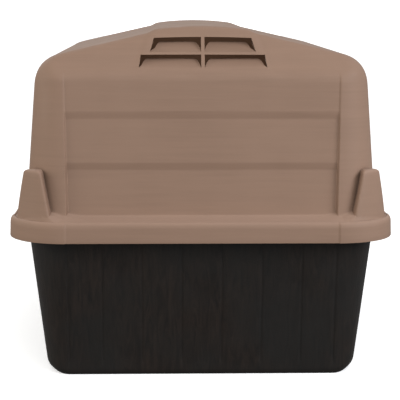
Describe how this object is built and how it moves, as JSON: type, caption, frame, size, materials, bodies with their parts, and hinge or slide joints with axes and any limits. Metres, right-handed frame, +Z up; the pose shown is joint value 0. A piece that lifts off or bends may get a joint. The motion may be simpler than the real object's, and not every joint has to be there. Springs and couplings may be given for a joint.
{
  "type": "moulded animal hutch",
  "caption": "Two-part moulded animal hutch: dark tapered tub with an arched doorway under a tan gabled roof shell, clamped along its side ledges by bolts and wing nuts.",
  "frame": {"origin": "on the floor, under the middle of the tub's underside", "axes": "+Z up, +Y towards the rear wall with the vents, -Y towards the doorway, +X to the side"},
  "size_m": [0.64, 0.82, 0.58],
  "materials": {
    "tan_plastic": "fine wood-grain texture, satin",
    "dark_plastic": "fine wood-grain texture, satin",
    "hardware_plastic": "smooth moulded",
    "washer_steel": "zinc plated"
  },
  "bodies": {
    "base": {"base_tub": "dark_plastic", "clamp_bolt_1": "hardware_plastic", "clamp_bolt_2": "hardware_plastic", "clamp_bolt_3": "hardware_plastic", "clamp_bolt_4": "hardware_plastic", "clamp_bolt_5": "hardware_plastic", "clamp_bolt_6": "hardware_plastic"},
    "roof": {"roof_shell": "tan_plastic"},
    "washer_1": {"washer_1": "washer_steel"},
    "nut_1": {"wing_nut_1": "hardware_plastic"},
    "washer_2": {"washer_2": "washer_steel"},
    "nut_2": {"wing_nut_2": "hardware_plastic"},
    "washer_3": {"washer_3": "washer_steel"},
    "nut_3": {"wing_nut_3": "hardware_plastic"},
    "washer_4": {"washer_4": "washer_steel"},
    "nut_4": {"wing_nut_4": "hardware_plastic"},
    "washer_5": {"washer_5": "washer_steel"},
    "nut_5": {"wing_nut_5": "hardware_plastic"},
    "washer_6": {"washer_6": "washer_steel"},
    "nut_6": {"wing_nut_6": "hardware_plastic"}
  },
  "joints": [
    {"name": "roof_lift", "type": "slide", "parent": "base", "child": "roof", "axis": [0, 0, 1], "range_m": [0, 0.4]},
    {"name": "washer_rise_1", "type": "slide", "parent": "roof", "child": "washer_1", "axis": [0, 0, 1], "range_m": [0, 0.0151]},
    {"name": "nut_turn_1", "type": "hinge", "parent": "washer_1", "child": "nut_1", "pos_m": [-0.304, -0.2, 0.2741], "axis": [0, 0, 1], "range_deg": [0, 1800]},
    {"name": "washer_rise_2", "type": "slide", "parent": "roof", "child": "washer_2", "axis": [0, 0, 1], "range_m": [0, 0.0151]},
    {"name": "nut_turn_2", "type": "hinge", "parent": "washer_2", "child": "nut_2", "pos_m": [-0.304, 0, 0.2741], "axis": [0, 0, 1], "range_deg": [0, 1800]},
    {"name": "washer_rise_3", "type": "slide", "parent": "roof", "child": "washer_3", "axis": [0, 0, 1], "range_m": [0, 0.0151]},
    {"name": "nut_turn_3", "type": "hinge", "parent": "washer_3", "child": "nut_3", "pos_m": [-0.304, 0.2, 0.2741], "axis": [0, 0, 1], "range_deg": [0, 1800]},
    {"name": "washer_rise_4", "type": "slide", "parent": "roof", "child": "washer_4", "axis": [0, 0, 1], "range_m": [0, 0.0151]},
    {"name": "nut_turn_4", "type": "hinge", "parent": "washer_4", "child": "nut_4", "pos_m": [0.304, -0.2, 0.2741], "axis": [0, 0, 1], "range_deg": [0, 1800]},
    {"name": "washer_rise_5", "type": "slide", "parent": "roof", "child": "washer_5", "axis": [0, 0, 1], "range_m": [0, 0.0151]},
    {"name": "nut_turn_5", "type": "hinge", "parent": "washer_5", "child": "nut_5", "pos_m": [0.304, 0, 0.2741], "axis": [0, 0, 1], "range_deg": [0, 1800]},
    {"name": "washer_rise_6", "type": "slide", "parent": "roof", "child": "washer_6", "axis": [0, 0, 1], "range_m": [0, 0.0151]},
    {"name": "nut_turn_6", "type": "hinge", "parent": "washer_6", "child": "nut_6", "pos_m": [0.304, 0.2, 0.2741], "axis": [0, 0, 1], "range_deg": [0, 1800]}
  ],
  "couplings": [
    {"joint": "washer_rise_1", "follows": "nut_turn_1", "m_per_rad": 0.00047746},
    {"joint": "washer_rise_2", "follows": "nut_turn_2", "m_per_rad": 0.00047746},
    {"joint": "washer_rise_3", "follows": "nut_turn_3", "m_per_rad": 0.00047746},
    {"joint": "washer_rise_4", "follows": "nut_turn_4", "m_per_rad": 0.00047746},
    {"joint": "washer_rise_5", "follows": "nut_turn_5", "m_per_rad": 0.00047746},
    {"joint": "washer_rise_6", "follows": "nut_turn_6", "m_per_rad": 0.00047746}
  ]
}
